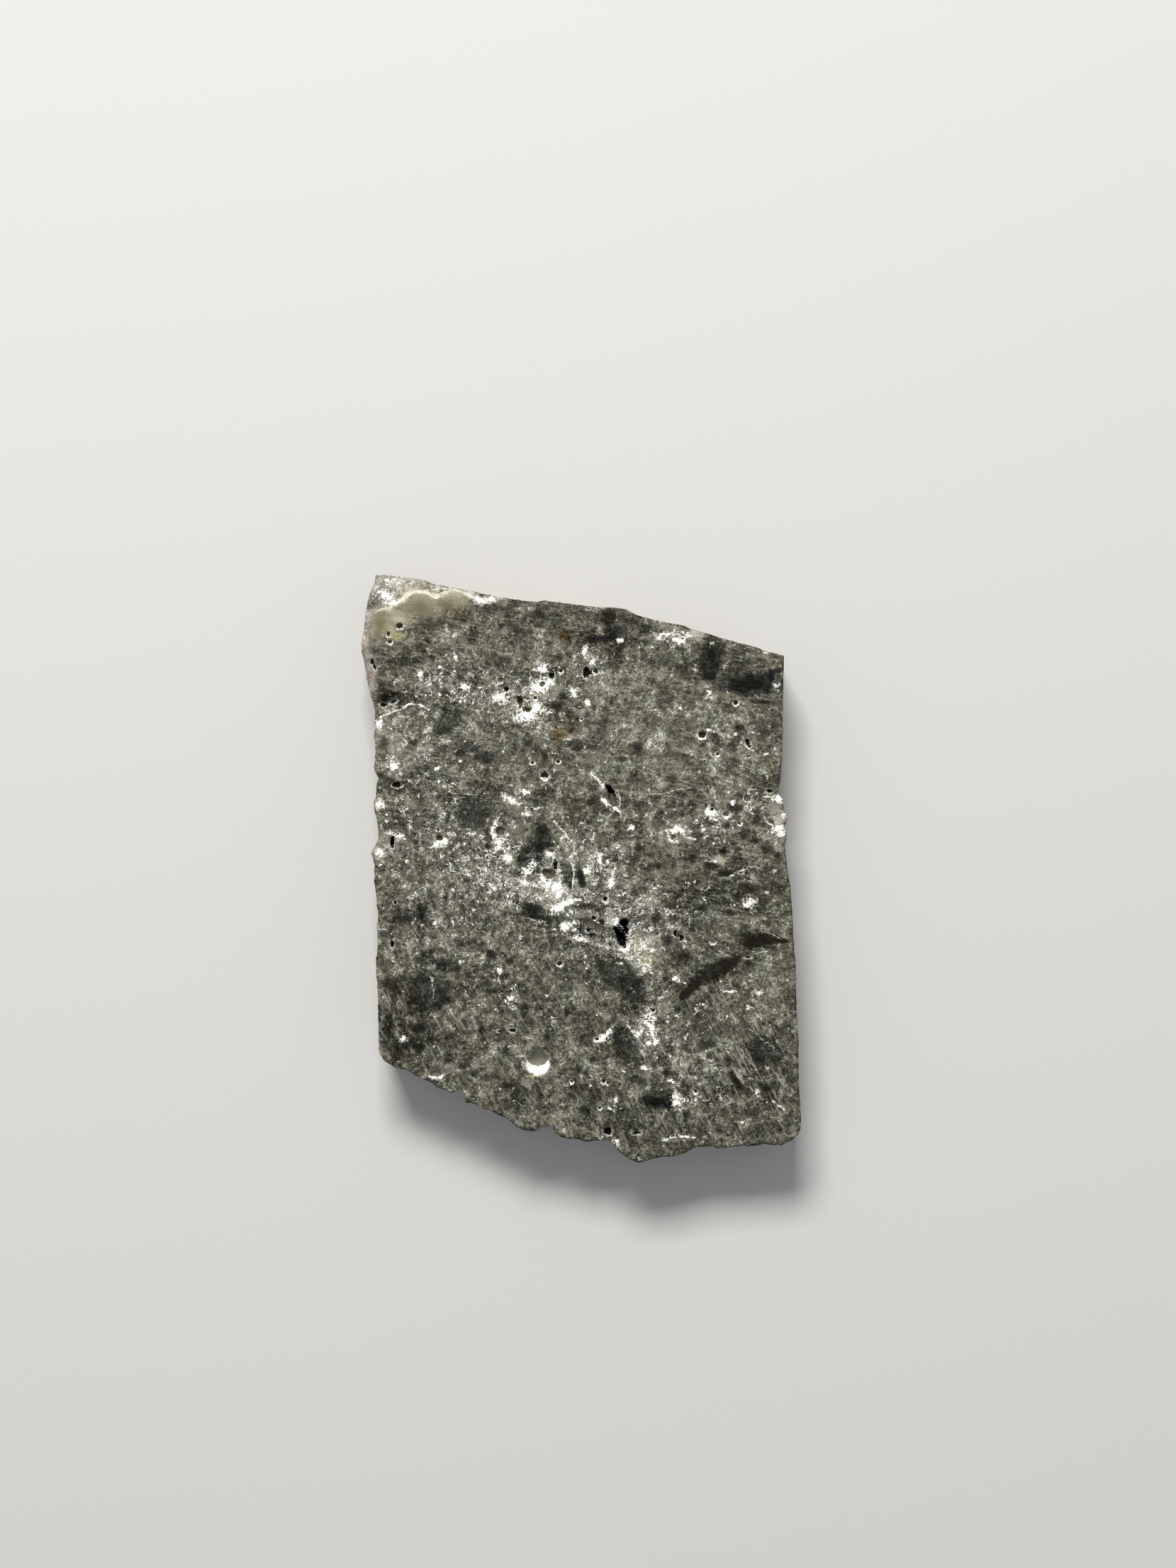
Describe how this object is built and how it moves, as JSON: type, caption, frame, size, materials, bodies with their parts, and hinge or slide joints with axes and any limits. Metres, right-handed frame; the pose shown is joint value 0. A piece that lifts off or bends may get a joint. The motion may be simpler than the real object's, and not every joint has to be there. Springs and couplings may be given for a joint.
{
  "type": "lunar meteorite slice",
  "caption": "Small sawn slice of brecciated moon rock with a pitted flat face, broken edges and one chipped corner.",
  "frame": {"origin": "middle of the flat underside", "axes": "+Z out of the sawn top face, +Y along the slice's length towards the chipped end, +X across its width"},
  "size_m": [0.012, 0.016, 0.0022],
  "materials": {
    "sawn_breccia": "dull sawn feldspathic breccia: grey-olive matrix, white and dark clasts, bubble pits, fine saw marks"
  },
  "bodies": {
    "root": {"meteorite_slice": "sawn_breccia"}
  },
  "joints": []
}
